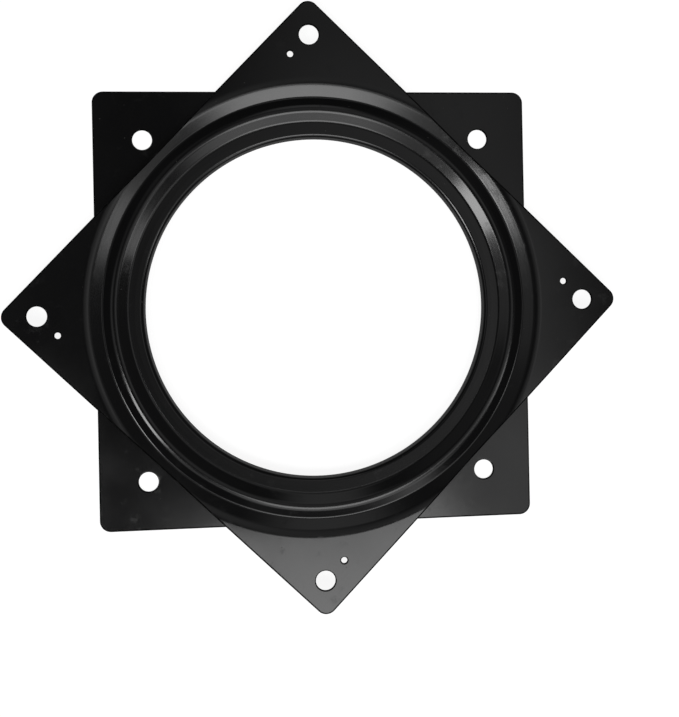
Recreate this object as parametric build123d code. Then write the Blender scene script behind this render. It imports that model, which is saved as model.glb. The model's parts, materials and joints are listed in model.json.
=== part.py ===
from build123d import *

import math
import os

# Lazy susan bearing in pressed sheet steel: two square plates that turn on a ring of caged balls.
# The lower plate's neck passes up through the upper plate and is rolled outwards into a lip, which
# lies over the upper plate's rim and holds the bearing together.
# Millimetres. Z is the turning axis, and the origin is the middle of the lower plate's mounting
# face, whose sides run along X and Y. A section is drawn as radius and height.

# Plates
plate_side = 157.0
plate_corner_radius = 4.0
sheet_thickness = 1.0
overall_height = 8.0
upper_plate_turn = 45.66

# Screw holes, one in each corner at this distance from both sides, and the pilot holes beside them
upper_hole_edge_distance = 9.7
lower_hole_edge_distance = 17.4
screw_hole_diameter = 7.0
pilot_hole_diameter = 2.2
pilot_hole_offset = 9.7

# Balls and their races
ball_diameter = 4.76
ball_count = 67
ball_circle_diameter = 142.5
race_relief = 0.62
race_clearance = 0.04

# Pressed ring, from the balls outwards: the shoulder, and each plate's slope up to its flat
shoulder_reach = 4.05
shoulder_gap = 2.1
upper_slope_width = 5.2
lower_slope_width = 2.6

# Lip and rim, from the balls inwards. The lip springs back, so its edge is a little higher.
lip_reach = 5.25
lip_width = 5.4
lip_rise = 0.3
lip_clearance = 0.2
lip_side_clearance = 0.75
rim_clearance = 1.36
rim_side_clearance = 0.6

# Ball cage
cage_thickness = 1.5
cage_back_wall = 0.7
cage_front_reach = 1.3
pocket_clearance = 0.08

# A fold that turns further than this has a flat on its outside
flat_fold_turn = 45.0

# Sizes that follow from the ones above
half_sheet = sheet_thickness / 2
ball_plane = overall_height / 2
ball_radius = ball_diameter / 2
ball_circle_radius = ball_circle_diameter / 2
race_radius = ball_radius + race_relief
shoulder_radius = ball_circle_radius + shoulder_reach
lip_radius = ball_circle_radius - lip_reach
flank_foot_radius = lip_radius + lip_side_clearance
bore_radius = lip_radius - lip_width
neck_radius = bore_radius + half_sheet
rim_radius = bore_radius + sheet_thickness + rim_side_clearance
pocket_radius = ball_radius + pocket_clearance

# Heights of the sheet's middle above the ball plane, on the upper plate
shoulder_height = shoulder_gap / 2 + half_sheet
rim_height = rim_clearance / 2 + half_sheet
lip_height = rim_height + sheet_thickness + lip_clearance
race_centre_height = ball_radius + race_clearance - race_radius


def sheet_side(points, inner_radii, distance):
    """Corners and radii of one side of a folded sheet, at a distance left of its middle line.

    Inside a fold the side follows the inner radius. Outside it is sharp, or has a flat that
    touches the fold's outer round where the fold turns far.
    """
    headings = [math.atan2(z1 - z0, r1 - r0) for (r0, z0), (r1, z1) in zip(points, points[1:])]

    def beside(point, heading, reach):
        return point[0] - reach * math.sin(heading), point[1] + reach * math.cos(heading)

    def along(point, heading, reach):
        return point[0] + reach * math.cos(heading), point[1] + reach * math.sin(heading)

    corners = [(beside(points[0], headings[0], distance), 0)]
    for point, radius, before, after in zip(points[1:-1], inner_radii, headings, headings[1:]):
        turn = math.remainder(after - before, math.tau)
        corner = beside(point, before + turn / 2, distance / math.cos(turn / 2))
        if turn * distance > 0:
            corners.append((corner, radius))
        elif abs(turn) > math.radians(flat_fold_turn):
            outer_radius = radius + sheet_thickness
            back = outer_radius * (math.tan(abs(turn) / 2) - math.tan(abs(turn) / 4))
            corners.append((along(corner, before, -back), 0))
            corners.append((along(corner, after, back), 0))
        else:
            corners.append((corner, 0))
    corners.append((beside(points[-1], headings[-1], distance), 0))
    return corners


def sheet_section(points, inner_radii):
    """Section of folded sheet about a middle line, with the inner radius of each fold."""
    left = sheet_side(points, inner_radii, half_sheet)
    right = sheet_side(points, inner_radii, -half_sheet)
    outline = left + right[::-1]
    places = [(r, 0, z) for (r, z), _ in outline]
    return make_face(FilletPolyline(*places, radius=[fold for _, fold in outline], close=True))


def race_apex():
    """Corner, above the ball plane, where the race's two flanks would meet over the balls."""
    middle_radius = race_radius + half_sheet
    feet = ((shoulder_radius, shoulder_height, -1), (flank_foot_radius, rim_height, 1))
    flanks = []
    for foot_radius, foot_height, side in feet:
        run = ball_circle_radius - foot_radius
        rise = race_centre_height - foot_height
        lean = math.asin(middle_radius / math.hypot(run, rise))
        flanks.append((foot_radius, foot_height, math.tan(math.atan2(rise, run) + side * lean)))
    (r0, z0, slope0), (r1, z1, slope1) = flanks
    apex_radius = (z1 - z0 + r0 * slope0 - r1 * slope1) / (slope0 - slope1)
    return apex_radius, z0 + (apex_radius - r0) * slope0


def pressed_plate(middle_line, inner_radii):
    """Sheet pressed to a round section, then trimmed to a square with rounded corners."""
    blank = revolve(sheet_section(middle_line, inner_radii), Axis.Z, 360)
    square = RectangleRounded(plate_side, plate_side, plate_corner_radius)
    return blank & extrude(square, overall_height)


def holes(diameter, places):
    """Punches for round holes, through the whole height."""
    punch = Cylinder(diameter / 2, overall_height, align=(Align.CENTER, Align.CENTER, Align.MIN))
    return [Pos(x, y) * punch for x, y in places]


def corner_places(x, y):
    """One place beside each corner of a plate, given the one beside its first corner."""
    places = []
    for _ in range(4):
        places.append((x, y))
        x, y = -y, x
    return places


def upper_plate():
    """Plate whose ring covers the balls and ends in a flat rim under the lip."""
    flat = overall_height - half_sheet
    apex_radius, apex_height = race_apex()
    middle_line = [
        (plate_side, flat),
        (shoulder_radius + upper_slope_width, flat),
        (shoulder_radius, ball_plane + shoulder_height),
        (apex_radius, ball_plane + apex_height),
        (flank_foot_radius, ball_plane + rim_height),
        (rim_radius, ball_plane + rim_height),
    ]
    plate = pressed_plate(middle_line, [0, 0, race_radius, 0])
    corner = plate_side / 2 - upper_hole_edge_distance
    plate -= holes(screw_hole_diameter, corner_places(corner, corner))
    plate -= holes(pilot_hole_diameter, corner_places(corner - pilot_hole_offset, corner))
    return Rot(0, 0, upper_plate_turn) * plate


def lower_plate():
    """Plate whose ring carries the balls, with the neck and lip that hold the upper plate."""
    flat = half_sheet
    apex_radius, apex_height = race_apex()
    middle_line = [
        (plate_side, flat),
        (shoulder_radius + lower_slope_width, flat),
        (shoulder_radius, ball_plane - shoulder_height),
        (apex_radius, ball_plane - apex_height),
        (flank_foot_radius, ball_plane - rim_height),
        (neck_radius, ball_plane - rim_height),
        (neck_radius, ball_plane + lip_height),
        (lip_radius, ball_plane + lip_height + lip_rise),
    ]
    plate = pressed_plate(middle_line, [0, 0, race_radius, 0, 0, 0])
    corner = plate_side / 2 - lower_hole_edge_distance
    plate -= holes(screw_hole_diameter, corner_places(corner, corner))
    return plate


def steel_ball():
    """Ball as a twenty-sided solid: a corner at each pole and two staggered rings of five."""
    ring_height = ball_radius / math.sqrt(5)
    corners = [Vector(0, 0, ball_radius), Vector(0, 0, -ball_radius)]
    for side in range(5):
        corners.append(Vector(2 * ring_height, 0, ring_height).rotate(Axis.Z, 72 * side))
        corners.append(Vector(2 * ring_height, 0, -ring_height).rotate(Axis.Z, 72 * side + 36))
    return ConvexPolyhedron(corners)


def steel_balls():
    """The balls, as separate solids evenly spaced round the ball circle."""
    ball = Pos(0, 0, ball_plane) * steel_ball()
    return Compound(children=[place * ball for place in PolarLocations(ball_circle_radius, ball_count)])


def ball_cage():
    """Flat ring with a square pocket for each ball, open outwards like a comb."""
    inner = ball_circle_radius - pocket_radius - cage_back_wall
    outer = ball_circle_radius + cage_front_reach
    pocket = Rectangle(pocket_radius + outer, 2 * pocket_radius, align=(Align.MIN, Align.CENTER))
    comb = Circle(outer) - Circle(inner)
    comb -= [
        place * Pos(-pocket_radius, 0) * pocket
        for place in PolarLocations(ball_circle_radius, ball_count)
    ]
    return Pos(0, 0, ball_plane - cage_thickness / 2) * extrude(comb, cage_thickness)


def main():
    """Write each piece to its own file."""
    os.makedirs("parts", exist_ok=True)
    export_step(lower_plate(), "parts/lower_plate.step")
    export_step(upper_plate(), "parts/upper_plate.step")
    export_step(ball_cage(), "parts/ball_cage.step")
    export_step(steel_balls(), "parts/steel_balls.step")


main()
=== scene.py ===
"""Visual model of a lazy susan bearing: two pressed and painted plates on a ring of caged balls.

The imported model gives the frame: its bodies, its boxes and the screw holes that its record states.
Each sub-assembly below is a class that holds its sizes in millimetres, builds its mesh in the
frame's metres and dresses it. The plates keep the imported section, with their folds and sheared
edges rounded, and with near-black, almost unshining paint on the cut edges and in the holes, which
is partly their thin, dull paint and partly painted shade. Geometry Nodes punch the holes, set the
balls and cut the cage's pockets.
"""

from __future__ import annotations

import json
import logging
import math
from dataclasses import dataclass, field, replace
from enum import Enum
from typing import Any

import bmesh
import bpy
import numpy as np
from bpy.types import Material, Mesh, Node, NodeSocket, NodeTree, Object
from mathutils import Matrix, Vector


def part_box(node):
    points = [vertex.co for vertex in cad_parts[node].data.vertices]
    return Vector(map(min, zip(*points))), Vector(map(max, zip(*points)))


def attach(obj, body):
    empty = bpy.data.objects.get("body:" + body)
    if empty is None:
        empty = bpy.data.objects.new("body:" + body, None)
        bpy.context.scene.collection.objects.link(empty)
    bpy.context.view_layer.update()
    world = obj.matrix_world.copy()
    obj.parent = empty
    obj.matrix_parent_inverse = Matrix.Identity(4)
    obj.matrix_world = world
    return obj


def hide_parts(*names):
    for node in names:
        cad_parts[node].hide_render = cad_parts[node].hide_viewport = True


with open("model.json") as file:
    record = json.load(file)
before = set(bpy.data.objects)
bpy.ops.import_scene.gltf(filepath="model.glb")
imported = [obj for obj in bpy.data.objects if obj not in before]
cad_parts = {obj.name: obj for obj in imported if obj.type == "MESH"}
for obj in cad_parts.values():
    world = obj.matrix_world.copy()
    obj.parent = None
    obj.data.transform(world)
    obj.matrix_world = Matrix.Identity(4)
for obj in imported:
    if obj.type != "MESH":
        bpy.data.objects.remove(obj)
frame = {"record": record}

log = logging.getLogger("bearing")

MM = 0.001
FULL_TURN = 360.0
CORNER_TURN = FULL_TURN / 8
WHITE = (1.0, 1.0, 1.0, 1.0)

Point = tuple[float, float]
Triple = tuple[float, float, float]
Colour = tuple[float, float, float, float]


class Body(Enum):
    """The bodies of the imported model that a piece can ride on."""

    LOWER_PLATE = "lower_plate"
    UPPER_PLATE = "upper_plate"
    BALL_RING = "ball_ring"


class Slot(Enum):
    """The record's material slots."""

    PAINT = "black_paint"
    NYLON = "black_nylon"
    STEEL = "bearing_steel"


class Side(Enum):
    """The two faces of a sheet, as the sign of their offset from its middle line."""

    TOP = 1
    UNDERSIDE = -1


def quarter_turn(facets: int) -> list[float]:
    """Angles from 0 to a quarter turn, in radians, at the ends of equal facets."""
    return [math.pi / 2 * index / facets for index in range(facets + 1)]


def turned(angles: np.ndarray, radii: np.ndarray, heights: np.ndarray) -> np.ndarray:
    """Turns a section round the axis.

    Args:
        angles: Direction of each column, in radians.
        radii: Radius of each row, or of each column's rows.
        heights: Height of each row, or of each column's rows.

    Returns:
        Points, as columns round the axis by rows along the section.
    """
    x = radii * np.cos(angles)[:, None]
    y = radii * np.sin(angles)[:, None]
    return np.stack([x, y, np.broadcast_to(heights, x.shape)], -1)


class NodeBuilder:
    """Short calls for placing and linking nodes in one tree."""

    def __init__(self, tree: NodeTree) -> None:
        """Works on a geometry or shader tree."""
        self.tree = tree

    def add(self, kind: str, *inputs: Any, **settings: Any) -> Node:
        """Adds a node.

        Args:
            kind: The node's type name.
            inputs: Sockets or values for the node's inputs, in their order. None skips one.
            settings: Properties to set before the inputs, such as operation.

        Returns:
            The new node.
        """
        node = self.tree.nodes.new(kind)
        for name, value in settings.items():
            setattr(node, name, value)
        for socket, value in zip(node.inputs, inputs):
            self.feed(socket, value)
        return node

    def feed(self, socket: NodeSocket, value: Any) -> None:
        """Links a socket or sets its value.

        Args:
            socket: The input to feed.
            value: An output socket, a plain value, or None to leave the input alone.
        """
        if isinstance(value, NodeSocket):
            self.tree.links.new(value, socket)
        elif value is not None:
            socket.default_value = value

    def fill(self, node: Node, values: dict[str, Any]) -> NodeSocket:
        """Feeds a node's inputs by name.

        Args:
            node: The node.
            values: Sockets or plain values, by the input's name.

        Returns:
            The node's first output.
        """
        for name, value in values.items():
            self.feed(node.inputs[name], value)
        return node.outputs[0]

    def math(self, operation: str, *inputs: Any, clamp: bool = False) -> NodeSocket:
        """Adds a Math node on sockets or numbers, and gives its result."""
        return self.add("ShaderNodeMath", *inputs, operation=operation, use_clamp=clamp).outputs[0]

    def ramp(
        self, value: Any, start: float, end: float, low: Any = 0.0, high: Any = 1.0
    ) -> NodeSocket:
        """Maps a value smoothly, to low where it is at the start and to high at the end."""
        inputs = (value, start, end, low, high)
        return self.add("ShaderNodeMapRange", *inputs, interpolation_type="SMOOTHSTEP").outputs[0]

    def mix(self, factor: Any, first: Any, second: Any) -> NodeSocket:
        """Mixes two colours, where a factor of 0 gives the first and 1 the second."""
        others = (None,) * 5
        node = self.add("ShaderNodeMix", factor, *others, first, second, data_type="RGBA")
        return node.outputs[2]

    def blend(self, factor: Any, first: Any, second: Any) -> NodeSocket:
        """Mixes two numbers, where a factor of 0 gives the first and 1 the second."""
        return self.add("ShaderNodeMix", factor, None, first, second, data_type="FLOAT").outputs[0]


class EffectGroup(NodeBuilder):
    """A shader effect that several finishes share, built once as a node group."""

    made: dict[str, NodeTree] = {}

    def __init__(self, name: str, output: str, inputs: dict[str, float]) -> None:
        """Opens the group and its sockets.

        Args:
            name: The group's name.
            output: The name of its one output.
            inputs: Input names with their default values.
        """
        super().__init__(bpy.data.node_groups.new(name, "ShaderNodeTree"))
        sockets = self.tree.interface
        for label, value in inputs.items():
            socket = sockets.new_socket(label, in_out="INPUT", socket_type="NodeSocketFloat")
            socket.default_value = value
        sockets.new_socket(output, in_out="OUTPUT", socket_type="NodeSocketFloat")
        self.source = self.add("NodeGroupInput").outputs
        self.place = self.add("ShaderNodeTexCoord").outputs["Object"]
        EffectGroup.made[name] = self.tree

    def close(self, value: NodeSocket) -> None:
        """Sends a value to the group's output."""
        self.add("NodeGroupOutput", value)

    def close_softly(self, depth: NodeSocket) -> None:
        """Puts out a mask that fades in over the group's Softness where the depth passes 0."""
        share = self.math("DIVIDE", depth, self.source["Softness"])
        self.close(self.math("ADD", share, 0.5, clamp=True))

    def noise(
        self, scale: Any, detail: float, roughness: float, place: NodeSocket | None = None
    ) -> NodeSocket:
        """Adds a noise texture.

        Args:
            scale: Its scale, in features to the metre.
            detail: Its number of octaves.
            roughness: How strong its finer octaves are.
            place: Where to read it, or None for the piece's own coordinates.

        Returns:
            The noise value's socket.
        """
        values = {"Scale": scale, "Detail": detail, "Roughness": roughness}
        node = self.add("ShaderNodeTexNoise", self.place if place is None else place)
        return self.fill(node, values)

    def radius(self) -> NodeSocket:
        """Adds the nodes that measure the distance from the turning axis.

        Returns:
            The distance's socket, in metres.
        """
        flat = self.add("ShaderNodeVectorMath", self.place, (1.0, 1.0, 0.0), operation="MULTIPLY")
        length = self.add("ShaderNodeVectorMath", flat.outputs[0], operation="LENGTH")
        return length.outputs["Value"]


class Effects:
    """Builds the shared shader effects."""

    @staticmethod
    def build() -> None:
        """Makes every effect group once."""
        Effects.orange_peel()
        Effects.cloudiness()
        Effects.specks()
        Effects.turning_marks()
        Effects.ring_band()
        Effects.smears()

    @staticmethod
    def orange_peel() -> None:
        """Height of the fine dimpled skin of sprayed paint, over slow waves in the sheet."""
        inputs = {"Dimple Scale": 900.0, "Wave Scale": 60.0, "Wave Share": 0.5}
        group = EffectGroup("orange_peel", "Height", inputs)
        dimples = group.noise(group.source["Dimple Scale"], detail=2.0, roughness=0.5)
        waves = group.noise(group.source["Wave Scale"], detail=2.0, roughness=0.4)
        lifted = group.math("MULTIPLY", waves, group.source["Wave Share"])
        group.close(group.math("ADD", dimples, lifted))

    @staticmethod
    def cloudiness() -> None:
        """Slow variation between a low and a high value, for uneven sheen."""
        group = EffectGroup("cloudiness", "Value", {"Scale": 45.0, "Low": 0.2, "High": 0.3})
        cloud = group.noise(group.source["Scale"], detail=4.0, roughness=0.55)
        share = group.ramp(cloud, start=0.3, end=0.7)
        low, high = group.source["Low"], group.source["High"]
        group.close(group.math("MULTIPLY_ADD", share, group.math("SUBTRACT", high, low), low))

    @staticmethod
    def specks() -> None:
        """Mask of sparse specks, such as dust grains in the paint."""
        group = EffectGroup("specks", "Mask", {"Scale": 700.0, "Size": 0.12, "Share": 0.03})
        cells = group.add("ShaderNodeTexVoronoi", group.place)
        group.feed(cells.inputs["Scale"], group.source["Scale"])
        near = group.math("LESS_THAN", cells.outputs["Distance"], group.source["Size"])
        pick = group.add("ShaderNodeSeparateColor", cells.outputs["Color"]).outputs[0]
        chosen = group.math("LESS_THAN", pick, group.source["Share"])
        group.close(group.math("MULTIPLY", near, chosen))

    @staticmethod
    def turning_marks() -> None:
        """Height of fine rings that a rolling tool leaves round the turning axis."""
        group = EffectGroup("turning_marks", "Height", {"Rings": 800.0, "Drift": 25.0})
        slow = group.noise(group.source["Drift"], detail=1.0, roughness=0.5)
        ring = group.math("MULTIPLY", group.radius(), group.source["Rings"])
        strip = group.add("ShaderNodeTexNoise", noise_dimensions="1D")
        values = {"W": group.math("ADD", ring, slow), "Scale": 1.0, "Detail": 2.0}
        group.close(group.fill(strip, values))

    @staticmethod
    def ring_band() -> None:
        """Mask of a band between two radii, with soft edges."""
        inputs = {"Inner": 0.06, "Outer": 0.066, "Softness": 0.0005}
        group = EffectGroup("ring_band", "Mask", inputs)
        radius = group.radius()
        past_inner = group.math("SUBTRACT", radius, group.source["Inner"])
        before_outer = group.math("SUBTRACT", group.source["Outer"], radius)
        group.close_softly(group.math("MINIMUM", past_inner, before_outer))

    @staticmethod
    def smears() -> None:
        """Mask of streaky smears, such as grease dragged along the balls' path."""
        inputs = {"Scale": 350.0, "Twist": 3.0, "Level": 0.5, "Softness": 0.12}
        group = EffectGroup("smears", "Mask", inputs)
        bend = group.add("ShaderNodeTexNoise", group.place)
        group.feed(bend.inputs["Scale"], group.source["Scale"])
        shift = group.add("ShaderNodeVectorMath", bend.outputs["Color"], operation="SCALE")
        group.feed(shift.inputs["Scale"], group.math("MULTIPLY", group.source["Twist"], MM))
        moved = group.add("ShaderNodeVectorMath", group.place, shift.outputs[0], operation="ADD")
        place = moved.outputs[0]
        streak = group.noise(group.source["Scale"], detail=5.0, roughness=0.65, place=place)
        group.close_softly(group.math("SUBTRACT", streak, group.source["Level"]))


class MaterialBuilder(NodeBuilder):
    """A material under construction, with its shader and its bump chain."""

    def __init__(self, name: str) -> None:
        """Opens a material that holds one Principled shader.

        Args:
            name: The material's name.
        """
        self.material = bpy.data.materials.new(name)
        self.material.use_nodes = True
        super().__init__(self.material.node_tree)
        self.shader = self.tree.nodes["Principled BSDF"]
        self.bump: NodeSocket | None = None

    def effect(self, name: str, **values: Any) -> NodeSocket:
        """Places a shared effect with its own values.

        Args:
            name: The effect group's name.
            values: Input values, named as the group's inputs with underscores for spaces.

        Returns:
            The effect's output.
        """
        node = self.add("ShaderNodeGroup", node_tree=EffectGroup.made[name])
        named = {label.replace("_", " ").title(): value for label, value in values.items()}
        return self.fill(node, named)

    def add_bump(self, height: NodeSocket, depth: float, strength: Any = 1.0) -> None:
        """Adds a layer of bump, in which a height of 1 stands out by the depth in metres."""
        values = {"Strength": strength, "Distance": depth, "Height": height, "Normal": self.bump}
        self.bump = self.fill(self.add("ShaderNodeBump"), values)

    def add_grain(self, scale: float, depth: float) -> None:
        """Adds a fine, even grain, which is orange peel without its waves."""
        self.add_bump(self.effect("orange_peel", dimple_scale=scale, wave_share=0.0), depth)

    def finish(self, values: dict[str, Any]) -> Material:
        """Feeds the shader's inputs by name, the bump included, and gives the material."""
        self.fill(self.shader, {**values, "Normal": self.bump})
        return self.material


@dataclass(frozen=True)
class PaintFinish:
    """Satin black paint on pressed steel, with smudges, dust grains and faint rings of pressing.

    Steep faces, where little of the spray lands, are dull. They start where the normal's upward
    part is wall_start and are fully dull at wall_full.
    """

    colour: Colour = (0.0028, 0.0028, 0.003, 1.0)
    dust_colour: Colour = (0.035, 0.034, 0.033, 1.0)
    dust_share: float = 0.012
    refraction: float = 1.4
    low_roughness: float = 0.12
    high_roughness: float = 0.16
    dimple_depth: float = 0.0009 * MM
    mark_depth: float = 0.009 * MM
    mark_inner: float = 60.2
    mark_outer: float = 81.5
    smudge_scale: float = 170.0
    smudge_level: float = 0.57
    smudge_softness: float = 0.25
    smudge_roughness: float = 0.23
    wall_roughness: float = 0.75
    wall_start: float = 0.5
    wall_full: float = 0.25

    def material(self) -> Material:
        """Builds the paint's material.

        Returns:
            The finished material.
        """
        made = MaterialBuilder("black_paint")
        grains = made.effect("specks", share=self.dust_share)
        smudges = made.effect(
            "smears",
            scale=self.smudge_scale,
            level=self.smudge_level,
            softness=self.smudge_softness,
        )
        normal = made.add("ShaderNodeTexCoord").outputs["Normal"]
        facing = made.math("ABSOLUTE", made.add("ShaderNodeSeparateXYZ", normal).outputs["Z"])
        walls = made.ramp(facing, self.wall_start, self.wall_full, 0.0, self.wall_roughness)
        rough = made.effect("cloudiness", low=self.low_roughness, high=self.high_roughness)
        for dull in (made.math("MULTIPLY", smudges, self.smudge_roughness), walls, grains):
            rough = made.math("MAXIMUM", rough, dull)
        made.add_bump(made.effect("orange_peel"), self.dimple_depth)
        pressed = made.effect("ring_band", inner=self.mark_inner * MM, outer=self.mark_outer * MM)
        made.add_bump(made.effect("turning_marks"), self.mark_depth, pressed)
        colour = made.mix(grains, self.colour, self.dust_colour)
        return made.finish({"Base Color": colour, "Roughness": rough, "IOR": self.refraction})


@dataclass(frozen=True)
class CutEdgeShadeFinish:
    """Near-black paint with almost no shine on the sheared edges and in the punched holes. It is
    partly their thin, dry paint and partly painted shade, which keeps these edges and the holes'
    walls dark.
    """

    colour: Colour = (0.002, 0.002, 0.0021, 1.0)
    worn_colour: Colour = (0.012, 0.012, 0.012, 1.0)
    wear_scale: float = 600.0
    wear_level: float = 0.6
    # Almost no shine: painted shade, which keeps the edges and the holes' walls from mirroring the
    # floor.
    specular_level: float = 0.02
    cloud_scale: float = 400.0
    low_roughness: float = 0.6
    high_roughness: float = 0.85
    grain_scale: float = 3000.0
    grain_depth: float = 0.006 * MM

    def material(self) -> Material:
        """Builds the edges' material.

        Returns:
            The finished material.
        """
        made = MaterialBuilder("black_paint_edge")
        worn = made.effect("smears", scale=self.wear_scale, level=self.wear_level)
        rough = made.effect(
            "cloudiness", scale=self.cloud_scale, low=self.low_roughness, high=self.high_roughness
        )
        made.add_grain(self.grain_scale, self.grain_depth)
        colour = made.mix(worn, self.colour, self.worn_colour)
        specular = {"Specular IOR Level": self.specular_level}
        return made.finish({"Base Color": colour, "Roughness": rough, **specular})


@dataclass(frozen=True)
class SteelFinish:
    """Polished ball steel under a film of grease that lies in pale and dark smears."""

    colour: Colour = (0.62, 0.62, 0.61, 1.0)
    grease_colour: Colour = (0.035, 0.034, 0.032, 1.0)
    grease_scale: float = 420.0
    low_roughness: float = 0.08
    grease_roughness: float = 0.38
    grease_depth: float = 0.05 * MM

    def material(self) -> Material:
        """Builds the balls' material.

        Returns:
            The finished material.
        """
        made = MaterialBuilder("bearing_steel")
        grease = made.effect("smears", scale=self.grease_scale)
        colour = made.mix(grease, self.colour, self.grease_colour)
        metal = made.math("SUBTRACT", 1.0, grease)
        rough = made.ramp(grease, 0.0, 1.0, self.low_roughness, self.grease_roughness)
        made.add_bump(grease, self.grease_depth)
        return made.finish({"Base Color": colour, "Metallic": metal, "Roughness": rough})


@dataclass(frozen=True)
class NylonFinish:
    """Black moulded nylon with grease on it."""

    colour: Colour = (0.012, 0.012, 0.0125, 1.0)
    cloud_scale: float = 300.0
    low_roughness: float = 0.3
    high_roughness: float = 0.55
    grain_scale: float = 2500.0
    grain_depth: float = 0.004 * MM

    def material(self) -> Material:
        """Builds the cage's material.

        Returns:
            The finished material.
        """
        made = MaterialBuilder("black_nylon")
        rough = made.effect(
            "cloudiness", scale=self.cloud_scale, low=self.low_roughness, high=self.high_roughness
        )
        made.add_grain(self.grain_scale, self.grain_depth)
        return made.finish({"Base Color": self.colour, "Roughness": rough})


@dataclass(frozen=True)
class Fold:
    """A corner of a sheet's middle line, in millimetres."""

    radius: float
    height: float
    inner_bend: float = 0.0


@dataclass(frozen=True)
class SheetLine:
    """The middle line of a folded sheet, with each fold as an arc, and its two sides.

    Args:
        folds: Corners from the outside inwards. The first and the last are its ends.
        thickness: The sheet's thickness, in millimetres.
        step: The most that one facet of a fold turns, in radians.
    """

    folds: tuple[Fold, ...]
    thickness: float
    step: float = math.radians(7.5)

    def samples(self) -> np.ndarray:
        """Points on the middle line with their normals.

        Returns:
            Rows of radius, height, and the normal's two parts, which point to the sheet's top.
        """
        places = np.array([(fold.radius, fold.height) for fold in self.folds])
        runs = np.diff(places, axis=0)
        headings = np.arctan2(runs[:, 1], runs[:, 0])
        rows = [self._row(places[0], headings[0])]
        inner = zip(self.folds[1:-1], places[1:-1], headings, headings[1:])
        for fold, place, before, after in inner:
            turn = math.remainder(after - before, math.tau)
            bend = fold.inner_bend + self.thickness / 2
            side = math.copysign(bend, turn)
            start = place - bend * math.tan(abs(turn) / 2) * np.array(
                (math.cos(before), math.sin(before))
            )
            centre = start + side * np.array((-math.sin(before), math.cos(before)))
            facets = max(2, math.ceil(abs(turn) / self.step))
            for index in range(facets + 1):
                heading = before + turn * index / facets
                outward = side * np.array((math.sin(heading), -math.cos(heading)))
                rows.append(self._row(centre + outward, heading))
        rows.append(self._row(places[-1], headings[-1]))
        return np.array(rows)

    @staticmethod
    def _row(place: np.ndarray, heading: float) -> tuple[float, float, float, float]:
        """One sample, whose normal is to the right of a line that runs inwards, at its top."""
        return place[0], place[1], math.sin(heading), -math.cos(heading)

    def side(self, side: Side) -> np.ndarray:
        """Radius and height of the points along one face, from the outside inwards."""
        rows = self.samples()
        return rows[:, :2] + rows[:, 2:] * (side.value * self.thickness / 2)

    def cut_edge(self, rounding: float, facets: int = 3) -> np.ndarray:
        """Points round the inner cut edge, from its top to its underside.

        Args:
            rounding: The radius of its two corners, in millimetres.
            facets: The number of facets in each corner.

        Returns:
            Rows of radius and height, in millimetres.
        """
        radius, height, *normal = self.samples()[-1]
        end, across = np.array((radius, height)), np.array(normal)
        ahead = np.array((-normal[1], normal[0]))
        reach = self.thickness / 2 - rounding
        bows = quarter_turn(facets)
        points = []
        for side, angles in ((Side.TOP, bows[::-1]), (Side.UNDERSIDE, bows)):
            for angle in angles:
                outwards = across * side.value * (reach + rounding * math.sin(angle))
                points.append(end + outwards + ahead * rounding * (math.cos(angle) - 1.0))
        return np.array(points)


@dataclass(frozen=True)
class RoundedSquare:
    """The outline of a plate, as its distance from the turning axis in each direction."""

    side: float
    corner_radius: float
    least_corner: float = 0.01

    def reach(self, angles: np.ndarray, inset: float = 0.0) -> np.ndarray:
        """Distance from the middle to the outline.

        Args:
            angles: Directions in radians, measured from one side's middle.
            inset: How far inside the outline to measure.

        Returns:
            One distance for each direction, in millimetres.
        """
        half = self.side / 2 - inset
        corner = max(self.corner_radius - inset, self.least_corner)
        quarter = np.mod(angles, math.pi / 2)
        folded = np.minimum(quarter, math.pi / 2 - quarter)
        straight = half / np.cos(folded)
        centre = half - corner
        along = centre * (np.cos(folded) + np.sin(folded))
        rounded = along + np.sqrt(np.maximum(along**2 - 2 * centre**2 + corner**2, 0.0))
        return np.where(straight * np.sin(folded) > centre, rounded, straight)

    def directions(
        self, coarse: float = 1.0, fine: float = 0.125, spread: float = 2.5
    ) -> np.ndarray:
        """Directions for the columns of a polar mesh, closer together round the corners.

        Args:
            coarse: The usual step, in degrees.
            fine: The step round the corners, in degrees.
            spread: How far the fine steps go to each side of a corner, in degrees.

        Returns:
            Angles in radians, from 0 to under a full turn.
        """
        wanted = set(np.round(np.arange(0.0, FULL_TURN, coarse), 4))
        for quarter in range(4):
            middle = CORNER_TURN * (1 + 2 * quarter)
            steps = np.arange(middle - spread, middle + spread + fine / 2, fine)
            wanted.update(np.round(steps, 4))
        return np.radians(sorted(wanted))


@dataclass(frozen=True)
class HolePattern:
    """A circle of round holes."""

    circle_diameter: float
    hole_radius: float
    count: int
    turn: float

    @classmethod
    def stated(cls, name: str, turn: float) -> HolePattern:
        """Takes a pattern's sizes from the record.

        Args:
            name: The mount's name there.
            turn: The direction of its first hole, in degrees.

        Returns:
            The pattern.
        """
        mount = next(m for m in frame["record"]["mounts"] if m["name"] == name)
        sizes = mount["dims"]
        return cls(sizes["pcd_mm"], sizes["hole_r_mm"], sizes["count"], turn)


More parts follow.
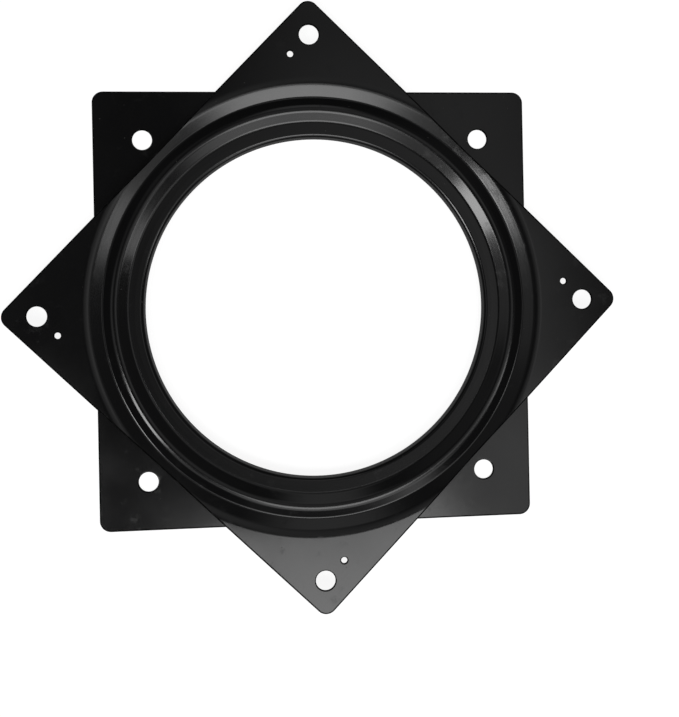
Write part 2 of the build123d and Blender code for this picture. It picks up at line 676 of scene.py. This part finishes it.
class Meshes:
    """Ways from points to finished objects."""

    @staticmethod
    def link(name: str, mesh: Mesh) -> Object:
        """Puts a mesh in the scene, as an object at the origin.

        Args:
            name: The object's name.
            mesh: Its mesh.

        Returns:
            The object.
        """
        made = bpy.data.objects.new(name, mesh)
        bpy.context.scene.collection.objects.link(made)
        return made

    @staticmethod
    def from_grid(name: str, points: np.ndarray, closed_rows: bool) -> Object:
        """Makes a surface from a grid of points that closes on itself round the turning axis.

        Args:
            name: The object's name.
            points: Points in metres, as columns round the axis by rows along the section.
            closed_rows: Whether the section is a loop too.

        Returns:
            The object, with doubles merged and faces pointing outwards.
        """
        columns, rows = points.shape[:2]
        numbers = np.arange(columns * rows).reshape(columns, rows)
        beside = np.roll(numbers, -1, axis=0)
        below = np.roll(numbers, -1, axis=1)
        corner = np.roll(beside, -1, axis=1)
        last = rows if closed_rows else rows - 1
        quads = np.stack([numbers, below, corner, beside], -1)[:, :last].reshape(-1, 4)
        mesh = bpy.data.meshes.new(name)
        mesh.from_pydata(points.reshape(-1, 3).tolist(), [], quads.tolist())
        Meshes.tidy(mesh)
        return Meshes.link(name, mesh)

    @staticmethod
    def tidy(mesh: Mesh, gap: float = 1e-7) -> None:
        """Merges doubles, drops faces with no area and points the rest outwards.

        Args:
            mesh: The mesh to tidy.
            gap: Points closer than this are one, in metres.
        """
        work = bmesh.new()
        work.from_mesh(mesh)
        bmesh.ops.remove_doubles(work, verts=work.verts, dist=gap)
        bmesh.ops.dissolve_degenerate(work, dist=gap, edges=work.edges)
        bmesh.ops.recalc_face_normals(work, faces=work.faces)
        work.to_mesh(mesh)
        work.free()

    @staticmethod
    def lathe(name: str, profile: list[Point], columns: int) -> Object:
        """Turns a profile in metres, which starts and ends on the axis, into a closed solid."""
        angles = np.arange(columns) * math.tau / columns
        return Meshes.from_grid(name, turned(angles, *np.array(profile).T), closed_rows=False)

    @staticmethod
    def read(items: Any, name: str) -> np.ndarray:
        """Reads one vector of every vertex, corner or face of a mesh.

        Args:
            items: The mesh's vertices, corner normals or faces.
            name: The vector's name.

        Returns:
            One row for each.
        """
        values = np.empty(len(items) * 3)
        items.foreach_get(name, values)
        return values.reshape(-1, 3)

    @staticmethod
    def settle(piece: Object, sharp_angle: float = math.radians(50.0)) -> None:
        """Applies a piece's modifiers and weighs its normals, so that flats stay flat.

        Args:
            piece: The object to settle.
            sharp_angle: Edges that turn further than this stay sharp.
        """
        Meshes.apply(piece)
        piece.data.shade_smooth()
        piece.data.set_sharp_from_angle(angle=sharp_angle)
        weigh = piece.modifiers.new("weigh", "WEIGHTED_NORMAL")
        weigh.keep_sharp = True
        Meshes.apply(piece)

    @staticmethod
    def apply(piece: Object) -> None:
        """Turns a piece into a plain mesh and removes its modifiers.

        Args:
            piece: The object.
        """
        bpy.context.view_layer.update()
        graph = bpy.context.evaluated_depsgraph_get()
        before = piece.data
        piece.data = bpy.data.meshes.new_from_object(piece.evaluated_get(graph))
        piece.modifiers.clear()
        bpy.data.meshes.remove(before)


class GeometryTree(NodeBuilder):
    """A Geometry Nodes tree with named inputs, which ends in plain mesh and one material."""

    def __init__(self, name: str, inputs: dict[str, str]) -> None:
        """Opens the tree and its sockets.

        Args:
            name: The tree's name.
            inputs: Input names with their socket types, after the geometry.
        """
        tree = bpy.data.node_groups.new(name, "GeometryNodeTree")
        tree.is_modifier = True
        super().__init__(tree)
        tree.interface.new_socket("Geometry", in_out="INPUT", socket_type="NodeSocketGeometry")
        for label, kind in inputs.items():
            tree.interface.new_socket(label, in_out="INPUT", socket_type=kind)
        tree.interface.new_socket("Material", in_out="INPUT", socket_type="NodeSocketMaterial")
        tree.interface.new_socket("Geometry", in_out="OUTPUT", socket_type="NodeSocketGeometry")
        self.source = self.add("NodeGroupInput").outputs

    def close(self, shape: NodeSocket) -> NodeTree:
        """Ends the tree.

        Args:
            shape: The geometry that it puts out.

        Returns:
            The finished tree.
        """
        plain = self.add("GeometryNodeRealizeInstances", shape).outputs[0]
        dressed = self.add("GeometryNodeSetMaterial", plain, None, self.source["Material"])
        self.add("NodeGroupOutput", dressed.outputs[0])
        return self.tree

    def circle_of(self, tool: NodeSocket) -> NodeSocket:
        """Instances a tool round a circle, each one turned to face outwards.

        Args:
            tool: The object socket of the piece to repeat. Count, Radius and Turn are the tree's.

        Returns:
            The instances.
        """
        count, radius = self.source["Count"], self.source["Radius"]
        circle = self.add("GeometryNodeMeshCircle", count, radius).outputs[0]
        shape = self.add("GeometryNodeObjectInfo", tool).outputs["Geometry"]
        place = self.add("GeometryNodeInputPosition").outputs[0]
        heading = self.add("FunctionNodeAlignEulerToVector", None, None, place).outputs[0]
        placed = self.add("GeometryNodeInstanceOnPoints", circle, None, shape)
        self.feed(placed.inputs["Rotation"], heading)
        turn = self.add("ShaderNodeCombineXYZ", 0.0, 0.0, self.source["Turn"]).outputs[0]
        return self.add("GeometryNodeTransform", placed.outputs[0], None, turn).outputs[0]

    @staticmethod
    def attach(piece: Object, tree: NodeTree, **values: Any) -> None:
        """Gives a piece the tree as a modifier, with its inputs set by their identifiers.

        Args:
            piece: The object.
            tree: The tree.
            values: Input values, named as the inputs.
        """
        modifier = piece.modifiers.new(tree.name, "NODES")
        modifier.node_group = tree
        for item in tree.interface.items_tree:
            if item.in_out == "INPUT" and item.name in values:
                modifier[item.identifier] = values[item.name]


class Trees:
    """Builds the Geometry Nodes trees that the pieces share."""

    PATTERN = {
        "Tool": "NodeSocketObject",
        "Count": "NodeSocketInt",
        "Radius": "NodeSocketFloat",
        "Turn": "NodeSocketFloat",
    }

    @staticmethod
    def cut_round_circle() -> NodeTree:
        """Cuts a tool's shape out of a piece at each place round a circle.

        Returns:
            The finished tree.
        """
        tree = GeometryTree("cut_round_circle", Trees.PATTERN)
        tools = tree.circle_of(tree.source["Tool"])
        cut = tree.add("GeometryNodeMeshBoolean", operation="DIFFERENCE", solver="MANIFOLD")
        tree.feed(cut.inputs["Mesh 1"], tree.source["Geometry"])
        tree.feed(cut.inputs["Mesh 2"], tools)
        return tree.close(cut.outputs["Mesh"])

    @staticmethod
    def set_round_circle() -> NodeTree:
        """Sets a copy of a tool at each place round a circle."""
        tree = GeometryTree("set_round_circle", Trees.PATTERN)
        return tree.close(tree.circle_of(tree.source["Tool"]))


@dataclass
class BearingSizes:
    """Sizes that the two plates and the ball ring share, in millimetres."""

    sheet: float = 1.0
    corner_radius: float = 4.0
    upper_turn: float = 45.66
    ball_diameter: float = 4.76
    ball_count: int = 67
    ball_circle_radius: float = 71.25
    race_relief: float = 0.62
    race_clearance: float = 0.04
    shoulder_reach: float = 4.05
    shoulder_gap: float = 2.1
    upper_slope_width: float = 5.2
    lower_slope_width: float = 2.6
    lip_reach: float = 5.25
    lip_width: float = 5.4
    lip_rise: float = 0.3
    lip_clearance: float = 0.2
    lip_side_clearance: float = 0.75
    rim_clearance: float = 1.36
    rim_side_clearance: float = 0.6
    flat_bend: float = 9.0
    valley_bend: float = 1.2
    foot_bend: float = 3.0
    lip_bend: float = 0.8
    crisp_bend: float = 0.4
    plate_side: float = field(init=False)
    height: float = field(init=False)

    def __post_init__(self) -> None:
        """Takes the plate's side and the overall height from the frame."""
        low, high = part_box(Body.LOWER_PLATE.value)
        self.plate_side = (high.x - low.x) / MM
        self.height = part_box(Body.UPPER_PLATE.value)[1].z / MM

    @property
    def ball_plane(self) -> float:
        """Height of the balls' middles."""
        return self.height / 2

    @property
    def shoulder_radius(self) -> float:
        """Radius of the shoulder beside the balls."""
        return self.ball_circle_radius + self.shoulder_reach

    @property
    def lip_radius(self) -> float:
        """Radius of the lip's cut edge."""
        return self.ball_circle_radius - self.lip_reach

    @property
    def bore_radius(self) -> float:
        """Radius of the hole through the bearing."""
        return self.lip_radius - self.lip_width

    @property
    def foot_radius(self) -> float:
        """Radius at which the race's inner flank meets the flat beside the lip."""
        return self.lip_radius + self.lip_side_clearance

    @property
    def shoulder_height(self) -> float:
        """Height of the shoulder's middle line above the balls' middles."""
        return (self.shoulder_gap + self.sheet) / 2

    @property
    def rim_height(self) -> float:
        """Height of the rim's middle line above the balls' middles."""
        return (self.rim_clearance + self.sheet) / 2

    @property
    def lip_height(self) -> float:
        """Height of the lip's middle line above the balls' middles."""
        return self.rim_height + self.sheet + self.lip_clearance

    @property
    def race_radius(self) -> float:
        """Radius of the race's round on the balls' side."""
        return self.ball_diameter / 2 + self.race_relief

    def race_apex(self) -> Point:
        """Finds the corner where the race's two flanks would meet.

        Returns:
            Its radius, and its height above the balls' middles.
        """
        bend = self.race_radius + self.sheet / 2
        centre = self.ball_diameter / 2 + self.race_clearance - self.race_radius
        feet = (
            (self.shoulder_radius, self.shoulder_height, -1),
            (self.foot_radius, self.rim_height, 1),
        )
        lines = []
        for radius, height, side in feet:
            run, rise = self.ball_circle_radius - radius, centre - height
            lean = math.asin(bend / math.hypot(run, rise))
            lines.append((radius, height, math.tan(math.atan2(rise, run) + side * lean)))
        (r0, z0, slope0), (r1, z1, slope1) = lines
        radius = (z1 - z0 + r0 * slope0 - r1 * slope1) / (slope0 - slope1)
        return radius, z0 + (radius - r0) * slope0


@dataclass
class PressedPlate:
    """A square sheet with a pressed ring, built as a polar mesh whose section is closed.

    The edge sizes are the radii of the rounded corners at the sheared edge's top and underside, at
    the inner cut edge and at the holes' mouths, in millimetres. A face on the flat that tilts by
    more than wall_tilt is a hole's wall, and a point within same_place of the section lies on it.
    A hole whose radius is at most small_hole has the fewer columns.
    """

    sizes: BearingSizes
    name: str
    body: Body
    turn: float
    line: SheetLine
    holes: tuple[HolePattern, ...]
    top_edge: float = 0.6
    under_edge: float = 0.1
    cut_edge: float = 0.14
    hole_edge: float = 0.4
    edge_facets: int = 5
    wall_tilt: float = math.radians(5.0)
    same_place: float = 1e-3
    small_hole: float = 2.0
    hole_columns: tuple[int, int] = (36, 72)

    @property
    def outline(self) -> RoundedSquare:
        """The sheet's outline."""
        return RoundedSquare(self.sizes.plate_side, self.sizes.corner_radius)

    def build(self, finish: PaintFinish, edges: CutEdgeShadeFinish, cutter: NodeTree) -> Object:
        """Makes the plate, punches it, paints it and gives it its place in the frame.

        Args:
            finish: Its paint.
            edges: The finish of its cut edges, which is partly painted shade.
            cutter: The tree that cuts a tool's shape out round a circle.

        Returns:
            The finished piece.
        """
        plate = Meshes.from_grid(self.name, self.surface() * MM, closed_rows=True)
        material = finish.material()
        plate.data.materials.append(material)
        punches = [self.punch(pattern) for pattern in self.holes]
        for pattern, punch in zip(self.holes, punches):
            GeometryTree.attach(
                plate,
                cutter,
                Tool=punch,
                Count=pattern.count,
                Radius=pattern.circle_diameter / 2 * MM,
                Turn=math.radians(pattern.turn),
                Material=material,
            )
        Meshes.settle(plate)
        self.set_true_normals(plate.data)
        # The cut edges and the holes' walls take a finish that is partly painted shade.
        self.dull_and_shade_cut_edges(plate.data, edges.material())
        for punch in punches:
            bpy.data.objects.remove(punch)
        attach(plate, self.body.value)
        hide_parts(self.body.value)
        return plate

    def set_true_normals(self, mesh: Mesh) -> None:
        """Gives the ring's skin the normals of its section, which its facets only come near.

        Args:
            mesh: The plate's mesh, with weighted normals.
        """
        normals = self.line.samples()[:, 2:]
        sides = [np.hstack([self.line.side(side), normals * side.value]) for side in Side]
        known = np.vstack(sides)
        x, y, z = Meshes.read(mesh.vertices, "co").T / MM
        radii = np.hypot(x, y)
        away = np.hypot(radii[:, None] - known[:, 0], z[:, None] - known[:, 1])
        found = away.min(1) < self.same_place
        outward, upward = known[away.argmin(1), 2:].T
        exact = np.stack([outward * x / radii, outward * y / radii, upward], -1)
        owners = np.empty(len(mesh.loops), dtype=np.int32)
        mesh.loops.foreach_get("vertex_index", owners)
        weighed = Meshes.read(mesh.corner_normals, "vector")
        chosen = np.where(found[owners, None], exact[owners], weighed)
        mesh.normals_split_custom_set(chosen.tolist())

    def dull_and_shade_cut_edges(self, mesh: Mesh, material: Material) -> None:
        """Gives the sheared edges and the holes' walls their own finish, whose near-black paint with
        almost no shine is partly painted shade.

        Args:
            mesh: The plate's mesh.
            material: The edges' material, which is partly painted shade.
        """
        mesh.materials.append(material)
        x, y, _ = Meshes.read(mesh.polygons, "center").T / MM
        away = np.hypot(x, y)
        angles = np.arctan2(y, x) - math.radians(self.turn)
        sheared = away > self.outline.reach(angles, self.top_edge)
        upward = np.abs(Meshes.read(mesh.polygons, "normal")[:, 2])
        on_flat = away > self.line.folds[1].radius + self.sizes.flat_bend
        punched = on_flat & (upward < math.cos(self.wall_tilt))
        # These faces take the edge finish: partly thin, dull paint and partly painted shade.
        mesh.polygons.foreach_set("material_index", (sheared | punched).astype(np.int32))

    def surface(self) -> np.ndarray:
        """Points of the whole skin, as columns round the axis by rows round the section.

        Returns:
            Points in millimetres.
        """
        angles = self.outline.directions()
        rim = self.line.cut_edge(self.cut_edge)
        rows = [
            *self.face_rows(angles, Side.TOP, self.top_edge),
            *(np.broadcast_to(place[:, None], (2, len(angles))) for place in rim),
            *reversed(self.face_rows(angles, Side.UNDERSIDE, self.under_edge)),
        ]
        radii, heights = np.array(rows).transpose(1, 2, 0)
        return turned(angles + math.radians(self.turn), radii, heights)

    def face_rows(
        self, angles: np.ndarray, face: Side, rounding: float
    ) -> list[tuple[np.ndarray, np.ndarray]]:
        """Rows of one face, from its rounded sheared edge to its last fold.

        Args:
            angles: The columns' directions.
            face: Which face it is.
            rounding: The radius of its corner at the sheared edge, in millimetres.

        Returns:
            Radii and heights of each row, in each direction.
        """
        side = self.line.side(face)
        outer = side[side[:, 0] > self.sizes.shoulder_radius][::-1].T
        rows = []
        for angle in quarter_turn(self.edge_facets)[:-1]:
            radii = self.outline.reach(angles, rounding * (1.0 - math.cos(angle)))
            drop = rounding * (1.0 - math.sin(angle)) * face.value
            rows.append((radii, np.interp(radii, *outer) - drop))
        limit = self.outline.reach(angles, rounding)
        for radius, height in side[:-1]:
            radii = np.minimum(limit, radius)
            inside = radius < limit.min()
            heights = np.full_like(limit, height) if inside else np.interp(radii, *outer)
            rows.append((radii, heights))
        return rows

    def punch(self, pattern: HolePattern) -> Object:
        """The shape that a hole takes out of the sheet, with rounded mouths.

        Args:
            pattern: The hole's sizes.

        Returns:
            A closed solid on the turning axis, to be repeated round the pattern's circle.
        """
        flat, clear = self.line.folds[0].height, self.sizes.sheet
        low, high = flat - clear / 2, flat + clear / 2
        radius, edge = pattern.hole_radius, self.hole_edge
        upper_mouth = [
            (radius + edge * (1 - math.cos(angle)), high - edge * (1 - math.sin(angle)))
            for angle in quarter_turn(self.edge_facets)
        ]
        lower_mouth = [(r, low + high - z) for r, z in reversed(upper_mouth)]
        widest = upper_mouth[-1][0]
        profile = [(0.0, low - clear), (widest, low - clear), *lower_mouth, *upper_mouth]
        profile += [(widest, high + clear), (0.0, high + clear)]
        few, many = self.hole_columns
        columns = many if radius > self.small_hole else few
        return Meshes.lathe("punch", [(r * MM, z * MM) for r, z in profile], columns)


def upper_plate(sizes: BearingSizes) -> PressedPlate:
    """Sizes the plate whose ring covers the balls and ends in a flat rim under the lip.

    Args:
        sizes: The bearing's sizes.

    Returns:
        The plate, ready to build.
    """
    flat = sizes.height - sizes.sheet / 2
    apex_radius, apex_height = sizes.race_apex()
    middle = sizes.ball_plane
    rim_radius = sizes.bore_radius + sizes.sheet + sizes.rim_side_clearance
    folds = (
        Fold(sizes.plate_side, flat),
        Fold(sizes.shoulder_radius + sizes.upper_slope_width, flat, sizes.flat_bend),
        Fold(sizes.shoulder_radius, middle + sizes.shoulder_height, sizes.valley_bend),
        Fold(apex_radius, middle + apex_height, sizes.race_radius),
        Fold(sizes.foot_radius, middle + sizes.rim_height, sizes.foot_bend),
        Fold(rim_radius, middle + sizes.rim_height),
    )
    screw = HolePattern.stated("upper_screw_holes", sizes.upper_turn + CORNER_TURN)
    pilot = HolePattern.stated("upper_pilot_holes", 0.0)
    reach = screw.circle_diameter / 2 * math.cos(math.radians(CORNER_TURN))
    across = math.degrees(math.acos(reach / (pilot.circle_diameter / 2)))
    pilot = replace(pilot, turn=sizes.upper_turn + 2 * CORNER_TURN - across)
    return PressedPlate(
        sizes,
        "upper_plate_skin",
        Body.UPPER_PLATE,
        sizes.upper_turn,
        SheetLine(folds, sizes.sheet),
        (screw, pilot),
    )


def lower_plate(sizes: BearingSizes) -> PressedPlate:
    """Sizes the plate whose ring carries the balls, with the neck and the rolled lip.

    Args:
        sizes: The bearing's sizes.

    Returns:
        The plate, ready to build.
    """
    apex_radius, apex_height = sizes.race_apex()
    middle = sizes.ball_plane
    neck_radius = sizes.bore_radius + sizes.sheet / 2
    folds = (
        Fold(sizes.plate_side, sizes.sheet / 2),
        Fold(sizes.shoulder_radius + sizes.lower_slope_width, sizes.sheet / 2, sizes.crisp_bend),
        Fold(sizes.shoulder_radius, middle - sizes.shoulder_height, sizes.crisp_bend),
        Fold(apex_radius, middle - apex_height, sizes.race_radius),
        Fold(sizes.foot_radius, middle - sizes.rim_height, sizes.crisp_bend),
        Fold(neck_radius, middle - sizes.rim_height, sizes.crisp_bend),
        Fold(neck_radius, middle + sizes.lip_height, sizes.lip_bend),
        Fold(sizes.lip_radius, middle + sizes.lip_height + sizes.lip_rise),
    )
    screw = HolePattern.stated("lower_screw_holes", CORNER_TURN)
    return PressedPlate(
        sizes, "lower_plate_skin", Body.LOWER_PLATE, 0.0, SheetLine(folds, sizes.sheet), (screw,)
    )


@dataclass
class BallRing:
    """The balls and the comb-shaped cage that spaces them."""

    sizes: BearingSizes
    segments: int = 24
    rings: int = 14
    cage_thickness: float = 1.5
    cage_back_wall: float = 0.7
    cage_front_reach: float = 1.3
    cage_edge: float = 0.12
    cage_edge_facets: int = 2
    cage_sharp_angle: float = math.radians(35.0)
    pocket_clearance: float = 0.08
    pocket_corner: float = 0.35
    pocket_facets: int = 4

    def build_balls(self, finish: SteelFinish, setter: NodeTree) -> Object:
        """Makes all the balls as one piece.

        Args:
            finish: Their steel.
            setter: The tree that sets copies round a circle.

        Returns:
            The finished piece.
        """
        radius = self.sizes.ball_diameter / 2 * MM
        middle = self.sizes.ball_plane * MM
        turns = [math.pi * index / self.rings for index in range(self.rings + 1)]
        profile = [(radius * math.sin(a), middle - radius * math.cos(a)) for a in turns]
        ball = Meshes.lathe("ball", profile, self.segments)
        balls = Meshes.link("balls", bpy.data.meshes.new("balls"))
        self.pattern(balls, ball, finish.material(), setter)
        Meshes.apply(balls)
        balls.data.shade_smooth()
        bpy.data.objects.remove(ball)
        return self.place(balls, "steel_balls", Slot.STEEL)

    def build_cage(self, finish: NylonFinish, cutter: NodeTree) -> Object:
        """Makes the cage.

        Args:
            finish: Its nylon.
            cutter: The tree that cuts a tool's shape out round a circle.

        Returns:
            The finished piece.
        """
        pocket = self.sizes.ball_diameter / 2 + self.pocket_clearance
        inner = self.sizes.ball_circle_radius - pocket - self.cage_back_wall
        outer = self.sizes.ball_circle_radius + self.cage_front_reach
        cage = self.blank(inner, outer)
        tool = self.pocket_tool(pocket, outer)
        material = finish.material()
        cage.data.materials.append(material)
        self.pattern(cage, tool, material, cutter)
        Meshes.settle(cage, self.cage_sharp_angle)
        bpy.data.objects.remove(tool)
        return self.place(cage, "ball_cage", Slot.NYLON)

    def blank(self, inner: float, outer: float) -> Object:
        """The cage's ring before its pockets are cut, with rounded edges.

        Args:
            inner: Its inner radius, in millimetres.
            outer: Its outer radius.

        Returns:
            The ring.
        """
        edge = self.cage_edge
        middle, half = self.sizes.ball_plane, self.cage_thickness / 2
        places = (
            (outer - edge, middle + half - edge),
            (inner + edge, middle + half - edge),
            (inner + edge, middle - half + edge),
            (outer - edge, middle - half + edge),
        )
        section = []
        for quarter, (radius, height) in enumerate(places):
            for bow in quarter_turn(self.cage_edge_facets):
                angle = math.pi / 2 * quarter + bow
                section.append((radius + edge * math.cos(angle), height + edge * math.sin(angle)))
        angles = np.radians(np.arange(0.0, FULL_TURN))
        points = turned(angles, *np.array(section).T * MM)
        return Meshes.from_grid("cage", points, closed_rows=True)

    def pocket_tool(self, pocket: float, outer: float) -> Object:
        """The block that a pocket takes out, with rounded inner corners.

        Args:
            pocket: Half the pocket's width, in millimetres.
            outer: The cage's outer radius.

        Returns:
            A closed solid about the ball's middle, which opens along +X.
        """
        front = outer - self.sizes.ball_circle_radius + pocket
        corner = self.pocket_corner
        back = [
            (-pocket + corner * (1 - math.sin(angle)), pocket - corner * (1 - math.cos(angle)))
            for angle in quarter_turn(self.pocket_facets)
        ]
        outline = [(front, pocket), *back, *[(x, -y) for x, y in reversed(back)], (front, -pocket)]
        low, high = (self.sizes.ball_plane + side * self.cage_thickness for side in (-1, 1))
        work = bmesh.new()
        floor = [work.verts.new((x * MM, y * MM, low * MM)) for x, y in outline]
        work.faces.new(floor)
        lifted = bmesh.ops.extrude_face_region(work, geom=work.faces[:])["geom"]
        raised = [item for item in lifted if isinstance(item, bmesh.types.BMVert)]
        bmesh.ops.translate(work, verts=raised, vec=Vector((0.0, 0.0, (high - low) * MM)))
        bmesh.ops.recalc_face_normals(work, faces=work.faces)
        mesh = bpy.data.meshes.new("pocket_tool")
        work.to_mesh(mesh)
        work.free()
        return Meshes.link("pocket_tool", mesh)

    def pattern(self, piece: Object, tool: Object, material: Material, tree: NodeTree) -> None:
        """Gives a piece a tree that works round the ball circle.

        Args:
            piece: The piece.
            tool: What the tree repeats.
            material: The material that it sets.
            tree: The tree.
        """
        GeometryTree.attach(
            piece,
            tree,
            Tool=tool,
            Count=self.sizes.ball_count,
            Radius=self.sizes.ball_circle_radius * MM,
            Turn=0.0,
            Material=material,
        )

    @staticmethod
    def place(piece: Object, node: str, slot: Slot) -> Object:
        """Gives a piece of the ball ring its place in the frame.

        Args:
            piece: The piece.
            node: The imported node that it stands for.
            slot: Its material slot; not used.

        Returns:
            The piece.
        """
        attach(piece, Body.BALL_RING.value)
        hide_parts(node)
        return piece


@dataclass(frozen=True)
class Softbox:
    """A rectangular lamp that faces the bearing.

    Args:
        name: Its name.
        toward: Direction from the bearing to the lamp.
        width: Its width as seen from the bearing, in radians.
        depth: Its other side, in radians.
        radiance: How bright its face is, where 1 is white.
        distance: How far away it stands, in metres.
    """

    name: str
    toward: Triple
    width: float
    depth: float
    radiance: float
    distance: float = 1.6

    def build(self) -> None:
        """Puts the lamp in the scene."""
        lamp = bpy.data.lights.new(self.name, "AREA")
        lamp.shape = "RECTANGLE"
        lamp.size = self.width * self.distance
        lamp.size_y = self.depth * self.distance
        lamp.energy = self.radiance * math.pi * lamp.size * lamp.size_y
        holder = bpy.data.objects.new(self.name, lamp)
        bpy.context.scene.collection.objects.link(holder)
        direction = Vector(self.toward).normalized()
        holder.location = direction * self.distance
        holder.rotation_euler = direction.to_track_quat("Z", "Y").to_euler()
        holder.visible_camera = False


@dataclass(frozen=True)
class Glow:
    """A soft pale patch of the studio's ceiling or walls, as seen from the bearing.

    Args:
        centre: Its direction, as the X and Y parts of a unit vector.
        half: Half its width along X and along Y.
        softness: How wide its fading edges are.
        level: How bright it is in the middle, where 1 is white.
    """

    centre: Point
    half: Point
    softness: float
    level: float

    def level_at(self, nodes: NodeBuilder, parts: Any) -> NodeSocket:
        """Adds the nodes that give the patch's brightness in a direction.

        Args:
            nodes: The world's nodes.
            parts: The direction's separate parts.

        Returns:
            The brightness socket.
        """
        level: Any = self.level
        for part, centre, half in zip((parts["X"], parts["Y"]), self.centre, self.half):
            away = nodes.math("ABSOLUTE", nodes.math("SUBTRACT", part, centre))
            edge = self.softness / 2
            level = nodes.math("MULTIPLY", nodes.ramp(away, half + edge, half - edge), level)
        return level


@dataclass(frozen=True)
class Studio:
    """Floor, surroundings, lamps and camera.

    The horizon comes in where a direction's upward part falls from horizon_start to horizon_full.
    The camera's place in millimetres, its turn and its focal length in pixels were fitted to the
    plate's corners and holes in the photograph.
    """

    softboxes: tuple[Softbox, ...] = (
        Softbox("front_box", (0.085, -0.40, 0.911), 0.35, 0.28, 3.95),
        Softbox("left_box", (-0.43, -0.31, 0.848), 0.17, 0.36, 13.0),
        Softbox("right_box", (0.53, -0.20, 0.824), 0.12, 0.27, 3.4),
    )
    glows: tuple[Glow, ...] = (
        Glow((0.17, 0.09), (0.16, 0.22), 0.2, 0.48),
        Glow((0.05, 0.52), (0.12, 0.16), 0.12, 0.72),
        Glow((0.10, -0.38), (0.17, 0.13), 0.16, 2.0),
        Glow((0.16, -0.62), (0.34, 0.15), 0.16, 2.1),
        Glow((-0.32, -0.48), (0.16, 0.12), 0.12, 0.8),
        Glow((-0.5, -0.04), (0.14, 0.14), 0.16, 0.5),
        Glow((-0.38, 0.3), (0.18, 0.26), 0.16, 0.15),
        Glow((0.52, 0.3), (0.24, 0.4), 0.2, 0.06),
        Glow((0.4, -0.24), (0.16, 0.12), 0.14, 0.8),
        Glow((0.25, -0.05), (0.07, 0.14), 0.08, 0.45),
        Glow((0.25, -0.18), (0.09, 0.07), 0.1, 0.35),
    )
    ceiling: float = 0.05
    horizon: float = 0.45
    floor_white: float = 0.9
    floor_albedo: float = 0.2
    floor_size: float = 4.0
    floor_drop: float = 0.02 * MM
    horizon_start: float = 0.4
    horizon_full: float = 0.1
    camera_place: Triple = (-22.767, 2.577, 325.676)
    camera_turn: Triple = (0.0009, -0.0965, -0.0198)
    picture: tuple[int, int] = (679, 717)
    film_width: float = 36.0
    focal_pixels: float = 894.59
    middle_pixel: Point = (339.5, 300.0)

    def build(self) -> None:
        """Makes the whole studio."""
        self.build_floor()
        self.build_world()
        self.build_camera()
        for softbox in self.softboxes:
            softbox.build()
        bpy.context.scene.view_settings.view_transform = "Standard"

    def build_floor(self) -> None:
        """A white floor that keeps the bearing's shadow."""
        half = self.floor_size / 2
        corners = [(-half, -half, 0.0), (half, -half, 0.0), (half, half, 0.0), (-half, half, 0.0)]
        mesh = bpy.data.meshes.new("floor")
        mesh.from_pydata(corners, [], [(0, 1, 2, 3)])
        floor = Meshes.link("floor", mesh)
        floor.location.z = -self.floor_drop
        made = MaterialBuilder("floor_white")
        rays = made.add("ShaderNodeLightPath").outputs
        seen = made.math("MAXIMUM", rays["Is Camera Ray"], rays["Is Glossy Ray"])
        seen = made.math("MAXIMUM", seen, rays["Is Transmission Ray"])
        looks = {
            "Base Color": (self.floor_albedo,) * 3 + (1.0,),
            "Roughness": 1.0,
            "Specular IOR Level": 0.0,
            "Emission Color": WHITE,
            "Emission Strength": made.math("MULTIPLY", seen, self.floor_white),
        }
        floor.data.materials.append(made.finish(looks))

    def build_world(self) -> None:
        """A dim ceiling with soft pale patches, a pale horizon, and white behind the bearing."""
        world = bpy.data.worlds.new("studio")
        world.use_nodes = True
        bpy.context.scene.world = world
        nodes = NodeBuilder(world.node_tree)
        direction = nodes.add("ShaderNodeTexCoord").outputs["Generated"]
        parts = nodes.add("ShaderNodeSeparateXYZ", direction).outputs
        overhead: Any = self.ceiling
        for glow in self.glows:
            overhead = nodes.math("ADD", overhead, glow.level_at(nodes, parts))
        low = nodes.ramp(parts["Z"], self.horizon_start, self.horizon_full)
        around = nodes.blend(low, overhead, self.horizon)
        seen = nodes.add("ShaderNodeLightPath").outputs["Is Camera Ray"]
        values = {"Color": WHITE, "Strength": nodes.blend(seen, around, 1.0)}
        nodes.fill(world.node_tree.nodes["Background"], values)

    def build_camera(self) -> None:
        """The camera of the photograph's upper view."""
        lens = bpy.data.cameras.new("camera")
        width, height = self.picture
        longer = max(width, height)
        lens.sensor_width = self.film_width
        lens.lens = self.focal_pixels / longer * lens.sensor_width
        lens.shift_x = (width / 2 - self.middle_pixel[0]) / longer
        lens.shift_y = (self.middle_pixel[1] - height / 2) / longer
        camera = bpy.data.objects.new("camera", lens)
        bpy.context.scene.collection.objects.link(camera)
        camera.location = Vector(self.camera_place) * MM
        turn = Vector(self.camera_turn)
        camera.rotation_mode = "AXIS_ANGLE"
        camera.rotation_axis_angle = (turn.length, *turn.normalized())
        bpy.context.scene.camera = camera


def corners(box: tuple[Vector, Vector]) -> list[list[float]]:
    """A box's two corners as plain lists."""
    return [list(corner) for corner in box]


def main() -> None:
    """Builds every piece in order, then the studio."""
    logging.basicConfig(level=logging.INFO, format="%(name)s: %(message)s")
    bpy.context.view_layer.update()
    Effects.build()
    sizes = BearingSizes()
    cutter, setter = Trees.cut_round_circle(), Trees.set_round_circle()
    # The cut edges' finish is partly painted shade on the edges and in the holes.
    paint, edges = PaintFinish(), CutEdgeShadeFinish()
    ring = BallRing(sizes)
    pieces = [
        lower_plate(sizes).build(paint, edges, cutter),
        upper_plate(sizes).build(paint, edges, cutter),
        ring.build_balls(SteelFinish(), setter),
        ring.build_cage(NylonFinish(), cutter),
    ]
    for piece in pieces:
        triangles = sum(len(face.vertices) - 2 for face in piece.data.polygons)
        log.info("%s: %d triangles", piece.name, triangles)
    Studio().build()


if __name__ == "__main__":
    main()
